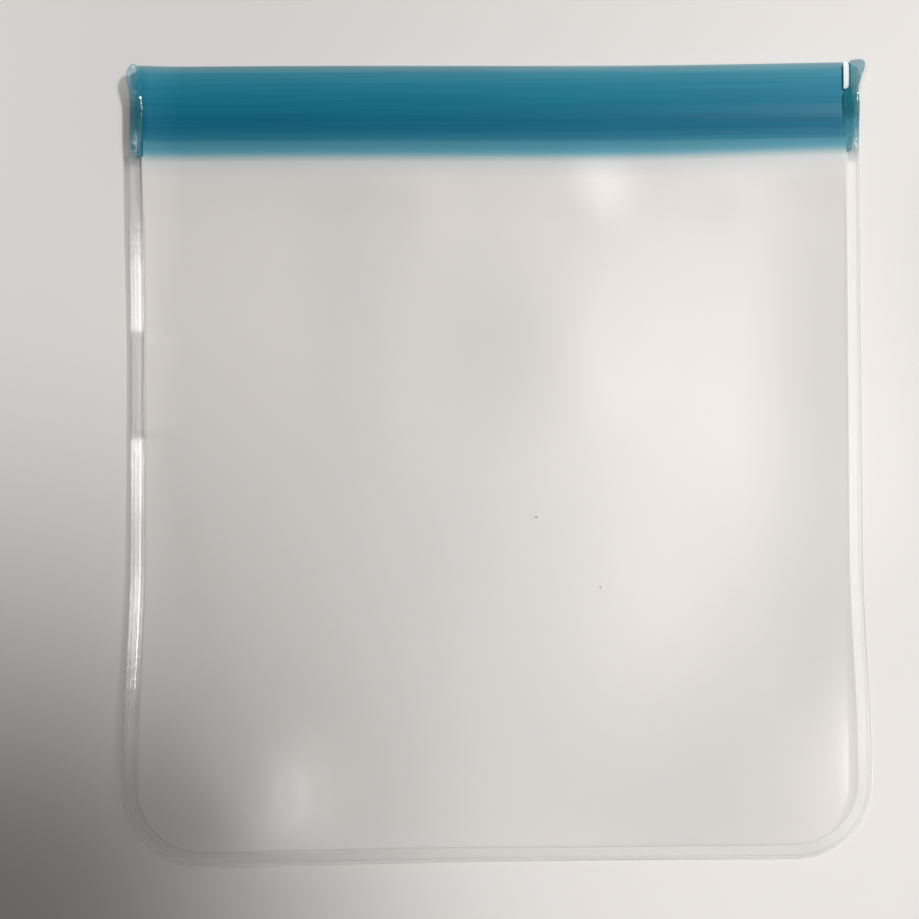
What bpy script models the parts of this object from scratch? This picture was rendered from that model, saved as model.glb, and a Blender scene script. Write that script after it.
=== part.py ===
"""Reusable food storage bag of soft plastic, empty and shut, lying on its back.

Metres, +Z up. The bag lies on z = 0, and the origin is on that plane, under the middle of the
bag's outline. +Y runs from the round-cornered foot to the zip, +X runs to the right.
"""

import math

import bmesh
import bpy
from mathutils import Matrix, Vector

# The outline of the bag, seen from above.
OVERALL_LENGTH = 0.2880  # from the foot to the tops of the two ears
TOP_HALF_WIDTH = 0.1317
FOOT_HALF_WIDTH = 0.1341
FLARE_TOP_Y = -0.0340  # the sides are straight above this line
FLARE_FOOT_Y = -0.1080  # and have their full width below this one
CORNER_RADIUS = 0.0280
GAP = 0.0003  # between neighbouring solids

# The weld that joins the front and the back film along both sides and the foot.
RIM_WIDTH = 0.0054
RIM_THICKNESS = 0.0007
RIM_BEAD_HEIGHT = 0.0004
RIM_BEAD_RADIUS = 0.0006
RIM_BEAD_INSETS = (0.0012, 0.0048)  # from the outer edge to the middle of each bead
RIM_PROFILE_STEPS = 14
RIM_BEDDING = 0.0002  # height of the rim's underside where the bag lies flat

# The zip's two strips, one on the front film and one on the back film.
EAR_RISE = 0.0014  # from the top edge of the strips to the tops of the ears
STRIP_HEIGHT = 0.0326
STRIP_HALF_LENGTH = 0.1264
STRIP_LIP_THICKNESS = 0.0006
STRIP_FLANGE_THICKNESS = 0.0005
FILM_LAP = 0.0060  # the film covers this much of each strip's lower edge
TRACK_HEIGHT = 0.0064
TRACK_DEPTH = 0.0013  # thickness of a strip where the zip's track is
TRACK_EDGE_RUN = 0.0006  # width of the slope along each edge of the track
TRACK_FROM_FILM = 0.0008  # from the film's edge to the track
ROW_GROOVE_DEPTH = 0.0001  # depth of the groove between the two rows of the double zip
ROW_GROOVE_SHARE = 0.33  # its width as a share of the track's
TOP_BEAD_HEIGHT = 0.0010
TOP_BEAD_DEPTH = 0.0002
STRIP_PROFILE_STEPS = 18
STRIP_STATIONS = 36

# The pouch, from the rim to the zip.
LIP_FILM_THICKNESS = 0.0004
POUCH_EDGE_THICKNESS = 0.0007
POUCH_SWELL = 0.0024  # how much the air left inside parts the two films
POUCH_SWELL_RUN = 0.0320  # distance from the rim to the full swell
SLOT_STATIONS = 20
SLOT_OVERRUN = 1.02  # the cutter of the zip's slot is this much longer than the strips
CORNER_ROWS = 7
SIDE_ROWS = 24
COLUMNS = 30

# How far the rim stands off the table at three places along the left side and one at the right:
# x, y, distance over which the lift fades along the rim, height.
RIM_LIFTS = {
    "left_top": (-0.1317, 0.1100, 0.0500, 0.0025),
    "left_side": (-0.1317, 0.0100, 0.1000, 0.0018),
    "left_corner": (-0.1341, -0.1350, 0.0850, 0.0065),
    "right_corner": (0.1341, -0.1440, 0.0500, 0.0008),
}
LIFT_SPREAD = 6.0  # a lifted edge comes down to the table over this many times its height

# The soft bag isn't quite straight: its left side is drawn in and its top edge sags.
DRAW_IN = 0.0010
DRAW_IN_FROM_Y = -0.1000
DRAW_IN_TO_Y = 0.0900
DRAW_IN_FROM_X = -0.0600
DRAW_IN_TO_X = -0.1200
SAG = 0.0011
SAG_X = 0.0525
SAG_HALF_LENGTH = 0.0900
SAG_FROM_Y = 0.0600
SAG_TO_Y = 0.1100

FOOT_Y = -OVERALL_LENGTH / 2
EAR_TOP_Y = OVERALL_LENGTH / 2
STRIP_TOP_Y = EAR_TOP_Y - EAR_RISE
STRIP_FOOT_Y = STRIP_TOP_Y - STRIP_HEIGHT
FILM_TOP_Y = STRIP_FOOT_Y + FILM_LAP
TRACK_FOOT_Y = FILM_TOP_Y + TRACK_FROM_FILM
TRACK_TOP_Y = TRACK_FOOT_Y + TRACK_HEIGHT
RIM_TOP_Y = STRIP_FOOT_Y - GAP

# Heights of the zip's layers above the table.
BACK_STRIP_FACE_Z = TRACK_DEPTH  # where the back strip's inner face is
FRONT_STRIP_FACE_Z = BACK_STRIP_FACE_Z + GAP
SLOT_FOOT_Z = LIP_FILM_THICKNESS
SLOT_TOP_Z = FRONT_STRIP_FACE_Z + STRIP_FLANGE_THICKNESS + GAP
ZIP_SIDE_POUCH_THICKNESS = SLOT_TOP_Z + LIP_FILM_THICKNESS

# Soft bulges and hollows of the front film: x, y, half-lengths along x and y, height.
FRONT_RELIEF = {
    "fold_under_zip_left": (-0.025, 0.100, 0.009, 0.020, 0.0008),
    "fold_under_zip_middle": (0.038, 0.102, 0.008, 0.016, 0.0010),
    "fold_under_zip_right": (0.092, 0.102, 0.010, 0.014, 0.0007),
    "hollow_upper_middle": (-0.002, 0.046, 0.026, 0.034, -0.0007),
    "bulge_upper_right": (0.064, 0.046, 0.040, 0.040, 0.0012),
    "hollow_in_bulge": (0.070, 0.050, 0.010, 0.013, -0.0003),
    "hollow_right_side": (0.100, -0.040, 0.018, 0.046, -0.0008),
    "hollow_lower_right": (0.080, -0.098, 0.030, 0.020, -0.0005),
    "fold_at_foot": (-0.074, -0.121, 0.009, 0.024, 0.0012),
    "bulge_lower_left": (-0.085, -0.070, 0.030, 0.050, 0.0007),
}

# The crushed ends of the zip: y, middle x, middle z, width, thickness, tilt in degrees.
# Each row is one section, from the rim to the top of the ear.
LEFT_END_SECTIONS = (
    (0.1100, -0.1283, 0.0032, 0.0040, 0.0010, 12),
    (0.1160, -0.1281, 0.0034, 0.0042, 0.0016, 12),
    (0.1220, -0.1279, 0.0036, 0.0043, 0.0020, 12),
    (0.1270, -0.1278, 0.0038, 0.0043, 0.0018, 13),
    (0.1315, -0.1279, 0.0042, 0.0042, 0.0012, 16),
    (0.1345, -0.1282, 0.0047, 0.0045, 0.0010, 18),
    (0.1375, -0.1286, 0.0052, 0.0050, 0.0009, 20),
    (0.1405, -0.1288, 0.0055, 0.0046, 0.0009, 20),
    (0.1432, -0.1287, 0.0056, 0.0024, 0.0007, 20),
    (0.1440, -0.1288, 0.0056, 0.0008, 0.0004, 20),
)
RIGHT_END_SECTIONS = (
    (0.1100, 0.1291, 0.0011, 0.0041, 0.0009, 0),
    (0.1140, 0.1290, 0.0014, 0.0042, 0.0013, 0),
    (0.1180, 0.1290, 0.0017, 0.0043, 0.0018, -2),
    (0.1224, 0.1289, 0.0020, 0.0046, 0.0021, -3),
    (0.1270, 0.1290, 0.0021, 0.0049, 0.0019, -4),
    (0.1310, 0.1289, 0.0022, 0.0046, 0.0013, -8),
    (0.1335, 0.1289, 0.0024, 0.0042, 0.0010, -12),
    (0.1365, 0.1295, 0.0027, 0.0046, 0.0009, -16),
    (0.1395, 0.1302, 0.0029, 0.0054, 0.0009, -18),
    (0.1415, 0.1303, 0.0030, 0.0056, 0.0009, -18),
    (0.1426, 0.1303, 0.0030, 0.0045, 0.0007, -18),
    (0.1431, 0.1303, 0.0030, 0.0024, 0.0004, -18),
)
END_SECTION_POINTS = 12
END_SECTION_STEPS = 3  # sections added between two rows of the lists above
END_SECTION_SQUARENESS = 0.6  # 1 is an ellipse, less is a rounded bar

FILM_COLOUR = (0.80, 0.80, 0.79)
RIM_COLOUR = (0.78, 0.78, 0.77)
ZIP_COLOUR = (0.020, 0.170, 0.240)
END_COLOUR = (0.090, 0.270, 0.320)


def clear_scene():
    for item in list(bpy.data.objects):
        bpy.data.objects.remove(item, do_unlink=True)


def make_material(name, colour, roughness, transmission):
    material = bpy.data.materials.new(name)
    material.use_nodes = True
    shader = material.node_tree.nodes["Principled BSDF"]
    shader.inputs["Base Color"].default_value = (*colour, 1.0)
    shader.inputs["Roughness"].default_value = roughness
    shader.inputs["Metallic"].default_value = 0.0
    shader.inputs["Transmission Weight"].default_value = transmission
    material.diffuse_color = (*colour, 1.0)
    return material


def smooth_step(value):
    """0 below 0, 1 above 1, and a smooth S between."""
    held = min(max(value, 0.0), 1.0)
    return held * held * (3 - 2 * held)


def half_width(y):
    flare = smooth_step((FLARE_TOP_Y - y) / (FLARE_TOP_Y - FLARE_FOOT_Y))
    return TOP_HALF_WIDTH + flare * (FOOT_HALF_WIDTH - TOP_HALF_WIDTH)


def outline_right(inset, top_y, corner_rows, side_rows):
    """Points (x, y) of the outline's right half, moved in by inset, from the foot to top_y."""
    centre_x = FOOT_HALF_WIDTH - CORNER_RADIUS
    centre_y = FOOT_Y + CORNER_RADIUS
    radius = CORNER_RADIUS - inset
    points = []
    for row in range(corner_rows + 1):
        angle = math.radians(90) * row / corner_rows
        points.append((centre_x + radius * math.sin(angle), centre_y - radius * math.cos(angle)))
    for row in range(1, side_rows + 1):
        y = centre_y + (top_y - centre_y) * row / side_rows
        points.append((half_width(y) - inset, y))
    return points


def edge_distance(x, y):
    """Distance from a point of the bag to its outline, measured inwards."""
    side = half_width(y) - abs(x)
    foot = y - FOOT_Y
    if side < CORNER_RADIUS and foot < CORNER_RADIUS:
        return CORNER_RADIUS - math.hypot(CORNER_RADIUS - side, CORNER_RADIUS - foot)
    return min(side, foot)


def underside(x, y):
    """Height of the bag's back: flat on the table inside, and up in a curve where the rim is lifted."""
    along_y = min(y, STRIP_FOOT_Y)
    lift = 0.0
    for at_x, at_y, run, height in RIM_LIFTS.values():
        lift += height * math.exp(-((x - at_x) ** 2 + (along_y - at_y) ** 2) / run**2)
    inward = max(edge_distance(x, y), 0.0) / (LIFT_SPREAD * lift)
    return RIM_BEDDING + lift * max(0.0, 1 - inward) ** 2


def settle(x, y):
    """The place in the drawn-in, sagging bag of a point (x, y) of the straight one."""
    left = smooth_step((DRAW_IN_FROM_X - x) / (DRAW_IN_FROM_X - DRAW_IN_TO_X))
    drawn = DRAW_IN * left * smooth_step((y - DRAW_IN_FROM_Y) / (DRAW_IN_TO_Y - DRAW_IN_FROM_Y))
    middle = math.exp(-(((x - SAG_X) / SAG_HALF_LENGTH) ** 2))
    return x + drawn, y - SAG * middle * smooth_step((y - SAG_FROM_Y) / (SAG_TO_Y - SAG_FROM_Y))


def relief(x, y):
    total = 0.0
    for at_x, at_y, half_x, half_y, height in FRONT_RELIEF.values():
        away = ((x - at_x) / half_x) ** 2 + ((y - at_y) / half_y) ** 2
        total += height * math.exp(-away)
    return total


def pouch_top(x, y):
    inward = (edge_distance(x, y) - RIM_WIDTH) / POUCH_SWELL_RUN
    full = smooth_step(inward)
    thickness = POUCH_EDGE_THICKNESS + full * (POUCH_SWELL + relief(x, y))
    to_zip = smooth_step((y - (STRIP_FOOT_Y - POUCH_SWELL_RUN)) / POUCH_SWELL_RUN)
    near_zip = ZIP_SIDE_POUCH_THICKNESS + full * (1 - to_zip) * relief(x, y)
    return underside(x, y) + thickness * (1 - to_zip) + (near_zip - RIM_BEDDING) * to_zip


def settle_mesh(bm):
    for vert in bm.verts:
        vert.co.x, vert.co.y = settle(vert.co.x, vert.co.y)


def add_object(name, bm, material, sharp_angle=35):
    """Makes the object of one sub-part from its bmesh, facing outwards and shaded smooth."""
    bmesh.ops.recalc_face_normals(bm, faces=bm.faces)
    mesh = bpy.data.meshes.new(name)
    bm.to_mesh(mesh)
    bm.free()
    mesh.materials.append(material)
    mesh.shade_smooth()
    mesh.set_sharp_from_angle(angle=math.radians(sharp_angle))
    part = bpy.data.objects.new(name, mesh)
    bpy.context.scene.collection.objects.link(part)
    return part


def loft(bm, sections):
    """Joins closed sections with the same number of points, and closes both ends."""
    rings = [[bm.verts.new(point) for point in section] for section in sections]
    count = len(rings[0])
    for ring, following in zip(rings, rings[1:]):
        for here in range(count):
            there = (here + 1) % count
            bm.faces.new((ring[here], ring[there], following[there], following[here]))
    bm.faces.new(list(reversed(rings[0])))
    bm.faces.new(rings[-1])


def make_pouch(material):
    """The closed pouch: two films with a little air between, and their lips over the zip's strips."""
    inset = RIM_WIDTH + GAP
    right = outline_right(inset, STRIP_FOOT_Y - 2 * GAP, CORNER_ROWS, SIDE_ROWS)
    right += [(STRIP_HALF_LENGTH, STRIP_FOOT_Y), (STRIP_HALF_LENGTH, FILM_TOP_Y)]
    bm = bmesh.new()
    top = []
    under = []
    for half, y in right:
        xs = [half * (2 * column / COLUMNS - 1) for column in range(COLUMNS + 1)]
        top.append([bm.verts.new((x, y, pouch_top(x, y))) for x in xs])
        under.append([bm.verts.new((x, y, underside(x, y))) for x in xs])
    rows = len(right)
    for row in range(rows - 1):
        for column in range(COLUMNS):
            for sheet in (top, under):
                corners = (sheet[row][column], sheet[row][column + 1])
                corners += (sheet[row + 1][column + 1], sheet[row + 1][column])
                bm.faces.new(corners)
        for column in (0, COLUMNS):
            corners = (top[row][column], top[row + 1][column])
            corners += (under[row + 1][column], under[row][column])
            bm.faces.new(corners)
    for column in range(COLUMNS):
        for row in (0, rows - 1):
            corners = (top[row][column], top[row][column + 1])
            corners += (under[row][column + 1], under[row][column])
            bm.faces.new(corners)
    settle_mesh(bm)
    pouch = add_object("pouch_film", bm, material)
    cut = pouch.modifiers.new("zip_slot", "BOOLEAN")
    cut.operation = "DIFFERENCE"
    cut.solver = "EXACT"
    cut.object = make_slot_cutter()
    return pouch


def make_slot_cutter():
    """The slot between the two film lips, where the lower edges of the zip's strips sit."""
    low_y = STRIP_FOOT_Y - GAP
    high_y = low_y + 2 * FILM_LAP
    sections = []
    for station in range(-SLOT_STATIONS, SLOT_STATIONS + 1):
        x = SLOT_OVERRUN * STRIP_HALF_LENGTH * station / SLOT_STATIONS
        corners = ((low_y, SLOT_FOOT_Z), (high_y, SLOT_FOOT_Z), (high_y, SLOT_TOP_Z), (low_y, SLOT_TOP_Z))
        sections.append([Vector((x, y, z + underside(x, y) - RIM_BEDDING)) for y, z in corners])
    bm = bmesh.new()
    loft(bm, sections)
    bmesh.ops.recalc_face_normals(bm, faces=bm.faces)
    settle_mesh(bm)
    mesh = bpy.data.meshes.new("slot_cutter")
    bm.to_mesh(mesh)
    bm.free()
    cutter = bpy.data.objects.new("slot_cutter", mesh)
    cutter.hide_render = True
    cutter.display_type = "WIRE"
    bpy.context.scene.collection.objects.link(cutter)
    return cutter


def rim_height(inset):
    """Height of the rim's upper face over its underside, with a bead along each edge of the weld."""
    height = RIM_THICKNESS
    for bead_inset in RIM_BEAD_INSETS:
        away = (inset - bead_inset) / RIM_BEAD_RADIUS
        height += RIM_BEAD_HEIGHT * math.exp(-away * away)
    return height


def make_rim(material):
    """One ribbon of welded film from zip to zip, round both sides and the foot."""
    insets = [RIM_WIDTH * step / RIM_PROFILE_STEPS for step in range(RIM_PROFILE_STEPS + 1)]
    profile = [(inset, rim_height(inset)) for inset in insets]
    profile += [(RIM_WIDTH, 0.0), (0.0, 0.0)]
    lines = []
    for inset, height in profile:
        right = outline_right(inset, RIM_TOP_Y, CORNER_ROWS * 2, SIDE_ROWS)
        line = [(-x, y) for x, y in reversed(right)]
        line += [(0.0, FOOT_Y + inset)]
        line += right
        lines.append([Vector((x, y, underside(x, y) + height)) for x, y in line])
    bm = bmesh.new()
    loft(bm, [list(section) for section in zip(*lines)])
    settle_mesh(bm)
    return add_object("edge_weld", bm, material, sharp_angle=50)


def strip_thickness(y):
    """Thickness of one strip of the zip at y: a lip with a bead, the track's two rows, a flange."""
    if y < TRACK_FOOT_Y:
        return STRIP_FLANGE_THICKNESS
    if y <= TRACK_TOP_Y:
        off_middle = abs((y - TRACK_FOOT_Y) / TRACK_HEIGHT - 0.5)
        return TRACK_DEPTH - ROW_GROOVE_DEPTH * smooth_step(1 - 2 * off_middle / ROW_GROOVE_SHARE)
    bead = smooth_step(1 - (STRIP_TOP_Y - y) / TOP_BEAD_HEIGHT)
    return STRIP_LIP_THICKNESS + TOP_BEAD_DEPTH * bead


def make_strip(name, face_z, outward, material):
    """A strip of the zip: flat on its inner face, shaped on the face that points outward."""
    track_low_y = TRACK_FOOT_Y - TRACK_EDGE_RUN
    track_high_y = TRACK_TOP_Y + TRACK_EDGE_RUN
    marks = {STRIP_FOOT_Y, track_low_y, TRACK_FOOT_Y, TRACK_TOP_Y, track_high_y, STRIP_TOP_Y}
    for step in range(1, STRIP_PROFILE_STEPS):
        y = STRIP_FOOT_Y + STRIP_HEIGHT * step / STRIP_PROFILE_STEPS
        if y < track_low_y or TRACK_FOOT_Y < y < TRACK_TOP_Y or y > track_high_y:
            marks.add(y)
    levels = sorted(marks)
    sections = []
    for station in range(STRIP_STATIONS + 1):
        x = STRIP_HALF_LENGTH * (2 * station / STRIP_STATIONS - 1)
        base_z = face_z + underside(x, STRIP_FOOT_Y) - RIM_BEDDING
        outer = [Vector((x, y, base_z + outward * strip_thickness(y))) for y in levels]
        inner = [Vector((x, levels[-1], base_z)), Vector((x, levels[0], base_z))]
        sections.append(outer + inner)
    bm = bmesh.new()
    loft(bm, sections)
    settle_mesh(bm)
    return add_object(name, bm, material)


def blend_sections(sections):
    """The listed sections with smooth ones in between, on a Catmull-Rom curve."""
    rows = [sections[0], *sections, sections[-1]]
    blended = []
    for before, start, end, after in zip(rows, rows[1:], rows[2:], rows[3:]):
        for step in range(END_SECTION_STEPS):
            t = step / END_SECTION_STEPS
            section = []
            for a, b, c, d in zip(before, start, end, after):
                curve = 2 * b + (c - a) * t + (2 * a - 5 * b + 4 * c - d) * t**2
                section.append((curve + (3 * b - a - 3 * c + d) * t**3) / 2)
            blended.append(section)
    return blended + [list(sections[-1])]


def rounded_power(value):
    return math.copysign(abs(value) ** END_SECTION_SQUARENESS, value)


def make_zip_end(name, sections, material):
    """One end of the zip, crushed flat in the side weld, with an ear of spare strip on top."""
    rings = []
    for y, middle_x, middle_z, width, thickness, tilt in blend_sections(sections):
        ring = []
        for point in range(END_SECTION_POINTS):
            angle = 2 * math.pi * point / END_SECTION_POINTS
            offset = Vector((rounded_power(math.cos(angle)) * width / 2, 0, 0))
            offset.z = rounded_power(math.sin(angle)) * thickness / 2
            offset.rotate(Matrix.Rotation(math.radians(tilt), 3, "Y"))
            ring.append(Vector((middle_x, y, middle_z)) + offset)
        rings.append(ring)
    bm = bmesh.new()
    loft(bm, rings)
    return add_object(name, bm, material, sharp_angle=60)


def build():
    clear_scene()
    film = make_material("frosted_film", FILM_COLOUR, 0.45, 0.6)
    weld = make_material("clear_weld", RIM_COLOUR, 0.12, 0.6)
    teal = make_material("teal_zip", ZIP_COLOUR, 0.30, 0.2)
    crushed = make_material("crushed_zip", END_COLOUR, 0.10, 0.4)
    make_pouch(film)
    make_rim(weld)
    make_strip("zip_strip_back", BACK_STRIP_FACE_Z, -1, teal)
    make_strip("zip_strip_front", FRONT_STRIP_FACE_Z, 1, teal)
    make_zip_end("zip_end_left", LEFT_END_SECTIONS, crushed)
    make_zip_end("zip_end_right", RIGHT_END_SECTIONS, crushed)


build()
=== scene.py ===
"""Looks of the reusable food storage bag: films, welded rim, zip band and its crushed ends.

Metres, +Z up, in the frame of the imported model. The bag lies on z = 0, +Y runs to the zip.
"""

import math

import bmesh
import bpy
from mathutils import Matrix, Vector, noise


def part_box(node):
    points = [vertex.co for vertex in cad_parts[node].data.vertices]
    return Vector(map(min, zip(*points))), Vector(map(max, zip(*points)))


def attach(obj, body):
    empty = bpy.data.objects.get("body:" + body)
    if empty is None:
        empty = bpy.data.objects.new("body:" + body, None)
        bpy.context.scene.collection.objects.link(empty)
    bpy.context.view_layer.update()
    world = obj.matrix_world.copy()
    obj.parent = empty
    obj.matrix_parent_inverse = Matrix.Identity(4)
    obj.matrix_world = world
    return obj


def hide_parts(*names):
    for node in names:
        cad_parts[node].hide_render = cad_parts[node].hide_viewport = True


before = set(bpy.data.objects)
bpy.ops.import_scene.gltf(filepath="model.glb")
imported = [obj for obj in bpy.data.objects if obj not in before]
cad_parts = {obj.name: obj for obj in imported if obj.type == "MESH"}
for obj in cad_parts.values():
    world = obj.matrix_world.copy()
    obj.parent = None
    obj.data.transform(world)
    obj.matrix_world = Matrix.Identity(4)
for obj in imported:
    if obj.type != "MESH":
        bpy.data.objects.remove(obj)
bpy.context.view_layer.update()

# The zip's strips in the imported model: height along y, thickness at the track, gap between them.
STRIP_HEIGHT = 0.0326
TRACK_DEPTH = 0.0013
STRIP_GAP = 0.0003

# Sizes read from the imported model.
rim_low, rim_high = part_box("edge_weld")
pouch_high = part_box("pouch_film")[1]
front_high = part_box("zip_strip_front")[1]
FOOT_Y = rim_low.y
RIM_TOP_Y = rim_high.y
FOOT_HALF_WIDTH = rim_high.x
FILM_TOP_Y = pouch_high.y
STRIP_TOP_Y = front_high.y
STRIP_FOOT_Y = STRIP_TOP_Y - STRIP_HEIGHT
STRIP_HALF_LENGTH = front_high.x
BACK_FACE_Z = TRACK_DEPTH
FRONT_FACE_Z = TRACK_DEPTH + STRIP_GAP

# The outline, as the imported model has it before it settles.
TOP_HALF_WIDTH = 0.1317
FLARE_TOP_Y = -0.0340
FLARE_FOOT_Y = -0.1080
CORNER_RADIUS = 0.0280

# How far the rim stands off the table: x, y, distance over which the lift fades, height.
RIM_LIFTS = {
    "left_top": (-0.1317, 0.1100, 0.0500, 0.0025),
    "left_side": (-0.1317, 0.0100, 0.1000, 0.0018),
    "left_corner": (-0.1341, -0.1350, 0.0850, 0.0065),
    "right_corner": (0.1341, -0.1440, 0.0500, 0.0008),
}
# A lifted edge comes down to the table over this many times its height. Along the left side it
# varies with y, as the rim there is bent in one place.
LIFT_SPREAD = 6.0
LEFT_SPREADS = (
    (-0.0900, 7.0),
    (-0.0500, 6.75),
    (-0.0150, 6.2),
    (0.0095, 6.0),
    (0.0120, 9.5),
    (0.0430, 9.5),
    (0.0480, 6.4),
    (0.0600, 6.5),
    (0.0760, 7.0),
    (0.0950, 7.1),
)
BEDDING = 0.0002

# The soft bag isn't quite straight: its left side is drawn in and its top edge sags.
DRAW_IN = 0.0010
DRAW_IN_Y = (-0.1000, 0.0900)
DRAW_IN_X = (-0.0600, -0.1200)
SAG = 0.0011
SAG_X = 0.0525
SAG_HALF_LENGTH = 0.0900
SAG_Y = (0.0600, 0.1100)

# The rim, from its thin outer edge inwards: a bead, a groove, a wide flat weld, a last ridge.
RIM_WIDTH = 0.0054
RIM_EDGE_THICKNESS = 0.00025
RIM_BEAD_TOP = 0.00090
RIM_BEAD_INSET = 0.0012
RIM_GROOVE_INSET = 0.0016
RIM_GROOVE_RADIUS = 0.00016
RIM_GROOVE_DEPTH = 0.00014
RIM_FLAT_INSET = 0.0020
RIM_FLAT_THICKNESS = 0.00078
RIM_FLAT_CROWN = 0.00005
RIM_RIDGE_INSET = 0.0050
RIM_RIDGE_RADIUS = 0.00030
RIM_RIDGE_HEIGHT = 0.00007
RIM_LINES = ((0.0024, 0.00004), (0.0030, 0.00003), (0.0040, -0.00006), (0.0045, 0.00003))
RIM_LINE_RADIUS = 0.00013
RIM_IN_END = 0.0030  # how far the rim runs on under the crushed ends
RIM_PROFILE_STEPS = 100
RIM_CORNER_STEPS = 40
RIM_SIDE_STEPS = 150
RIM_FOOT_STEPS = 110
RIM_WAVE = 0.00008  # the molten weld is never quite even
RIM_WAVE_SCALE = 90.0
RIM_WAVE_SEED = 0.3

# The films.
FILM_THICKNESS = 0.00035
FILM_IN_RIM = 0.0006  # how far a film runs into the rim
FILM_CLEARANCE = 0.00005  # between the back film and the table
POUCH_EDGE_THICKNESS = 0.0007
POUCH_SWELL = 0.0006
POUCH_SWELL_RUN = 0.0240
ZIP_SIDE_THICKNESS = 0.0025
FILM_COLUMNS = 190
FILM_CORNER_ROWS = 26
FILM_SIDE_ROWS = 160
FILM_LAP_ROWS = 10

# Soft bulges and hollows of the front film: x, y, half-lengths along x and y, height.
# The last one, PUFF, stands up beside the right rim, and falls to the rim over PUFF_EDGE.
FRONT_RELIEF = {
    "fold_under_zip_left": (-0.025, 0.094, 0.011, 0.018, 0.0009),
    "fold_under_zip_middle": (0.036, 0.094, 0.011, 0.016, 0.0012),
    "fold_under_zip_right": (0.088, 0.094, 0.012, 0.014, 0.0009),
    "hollow_upper_middle": (-0.002, 0.046, 0.026, 0.034, -0.0005),
    "bulge_upper_right": (0.064, 0.046, 0.034, 0.040, 0.0010),
    "hollow_in_bulge": (0.070, 0.050, 0.010, 0.013, -0.0002),
    "hollow_right_side": (0.100, -0.040, 0.018, 0.046, -0.0007),
    "hollow_lower_right": (0.080, -0.098, 0.030, 0.020, -0.0004),
    "fold_at_foot": (-0.083, -0.127, 0.010, 0.020, 0.0024),
}
PUFF = (0.1326, -0.1080, 0.0090, 0.0450, 0.00133)
PUFF_EDGE = 0.0015
FILM_WAVE = 0.00008
FILM_WAVE_SCALE = 28.0

# Two dark specks on the front film: x, y, radius.
SPECKS = ((0.0141, -0.0202, 0.00030), (0.0369, -0.0456, 0.00026))
SPECK_HEIGHT = 0.00006
SPECK_POINTS = 14
SPECK_UNEVENNESS = 0.25

# The zip's strips.
STRIP_LIP_THICKNESS = 0.0006
STRIP_FLANGE_THICKNESS = 0.0005
STRIP_IN_END = 0.0022  # how far a strip runs on, thinning, into the crushed ends
STRIP_THINNING = 0.0032
STRIP_THINNED = 0.10
LIP_NOTCH_X = 0.1253  # the front lip stops here at the right, above this line
LIP_NOTCH_Y = (0.1328, 0.1340)
TRACK_HEIGHT = 0.0064
TRACK_THICKNESS = 0.00105  # about level with the film beside it
TRACK_FROM_FILM = 0.0004
TRACK_EDGE_RISE = 0.0010
TRACK_EDGE_RUN = 0.0060
TRACK_FOOT_Y = FILM_TOP_Y + TRACK_FROM_FILM
TRACK_TOP_Y = TRACK_FOOT_Y + TRACK_HEIGHT
ROW_GROOVE_DEPTH = 0.00003
ROW_GROOVE_SHARE = 0.50
TOP_BEAD_HEIGHT = 0.0010
TOP_BEAD_DEPTH = 0.00015
STRIP_LINE_DEPTH = 0.000004
STRIP_LINE_PITCH = 0.0011
STRIP_FOOT_RISE = 0.0013  # the strips get narrower towards the right, by a higher lower edge
STRIP_FOOT_RISE_X = (0.0300, 0.1400)
STRIP_FOOT_RISE_RUN = 0.0120
STRIP_PROFILE_STEPS = 110
STRIP_STATIONS = 240
STRIP_WAVE = 0.00008
STRIP_WAVE_SCALE = 22.0
STRIP_WAVE_STRETCH = 0.5
STRIP_WAVE_SEED = 0.7

# The crushed ends of the zip: y, left x, right x, middle z, thickness, tilt in degrees.
LEFT_END_SECTIONS = (
    (0.1065, -0.1300, -0.1264, 0.0033, 0.0004, 12),
    (0.1110, -0.1302, -0.1262, 0.0038, 0.0010, 12),
    (0.1160, -0.1302, -0.1258, 0.0041, 0.0016, 12),
    (0.1220, -0.1301, -0.1254, 0.0043, 0.0020, 10),
    (0.1270, -0.1300, -0.1254, 0.0045, 0.0018, 10),
    (0.1315, -0.1300, -0.1256, 0.0047, 0.0012, 14),
    (0.1345, -0.1304, -0.1258, 0.0050, 0.0010, 16),
    (0.1375, -0.1309, -0.1260, 0.0053, 0.0009, 18),
    (0.1396, -0.1309, -0.1261, 0.0055, 0.0009, 18),
    (0.1412, -0.1303, -0.1265, 0.0056, 0.0008, 18),
    (0.1423, -0.1296, -0.1273, 0.0056, 0.0006, 18),
    (0.1428, -0.1290, -0.1282, 0.0056, 0.0003, 18),
)
RIGHT_END_SECTIONS = (
    (0.1065, 0.1270, 0.1311, 0.0011, 0.0004, 0),
    (0.1107, 0.1268, 0.1311, 0.0016, 0.0009, -2),
    (0.1140, 0.1260, 0.1310, 0.0021, 0.0013, -6),
    (0.1180, 0.1255, 0.1310, 0.0024, 0.0017, -10),
    (0.1224, 0.1252, 0.1311, 0.0026, 0.0019, -12),
    (0.1270, 0.1252, 0.1312, 0.0027, 0.0018, -12),
    (0.1305, 0.1255, 0.1310, 0.0028, 0.0013, -12),
    (0.1330, 0.1265, 0.1308, 0.0029, 0.0011, -12),
    (0.1360, 0.1273, 0.1317, 0.0030, 0.0009, -14),
    (0.1395, 0.1274, 0.1329, 0.0030, 0.0009, -16),
    (0.1415, 0.1274, 0.1332, 0.0030, 0.0009, -16),
    (0.1424, 0.1279, 0.1326, 0.0030, 0.0007, -16),
    (0.1428, 0.1290, 0.1315, 0.0030, 0.0003, -16),
)
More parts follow.
